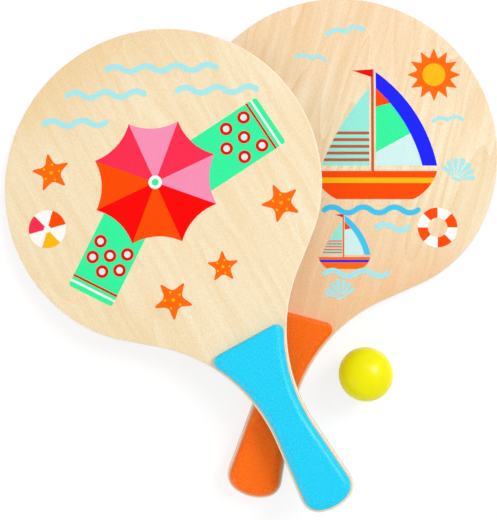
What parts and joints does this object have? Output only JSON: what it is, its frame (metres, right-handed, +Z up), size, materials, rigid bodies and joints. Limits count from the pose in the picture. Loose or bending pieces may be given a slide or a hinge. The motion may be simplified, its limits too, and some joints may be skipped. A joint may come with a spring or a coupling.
{
  "type": "paddle ball game",
  "caption": "Wooden beach paddles with round plywood blades and painted crowned grips, lying crossed one on the other, with a hollow ball beside them.",
  "frame": {"origin": "centre of the set's footprint, on the surface that it stands on", "axes": "+Z up, +X to the right and +Y to the top of the pictured layout, handles towards -Y"},
  "size_m": [0.367, 0.3719, 0.0462],
  "materials": {
    "face_veneer": "satin clear lacquer over pale straight grain",
    "inner_ply": "sanded plywood edge",
    "blue_paint": "satin blue paint with a fine orange-peel texture",
    "orange_paint": "satin orange paint with a fine orange-peel texture",
    "ball_yellow": "smooth satin"
  },
  "bodies": {
    "orange_paddle": {"orange_front_veneer": "face_veneer", "orange_front_cross_ply": "inner_ply", "orange_core_ply": "inner_ply", "orange_back_cross_ply": "inner_ply", "orange_back_veneer": "face_veneer", "orange_front_grip": "orange_paint", "orange_back_grip": "orange_paint"},
    "blue_paddle": {"blue_front_veneer": "face_veneer", "blue_front_cross_ply": "inner_ply", "blue_core_ply": "inner_ply", "blue_back_cross_ply": "inner_ply", "blue_back_veneer": "face_veneer", "blue_front_grip": "blue_paint", "blue_back_grip": "blue_paint"},
    "ball": {"ball_upper_half": "ball_yellow", "ball_lower_half": "ball_yellow"}
  },
  "joints": [
    {"name": "blue_lift", "type": "slide", "parent": "orange_paddle", "child": "blue_paddle", "axis": [0, 0, 1], "range_m": [0, 0.15]},
    {"name": "ball_lift", "type": "slide", "parent": "orange_paddle", "child": "ball", "axis": [0, 0, 1], "range_m": [0, 0.15]}
  ]
}
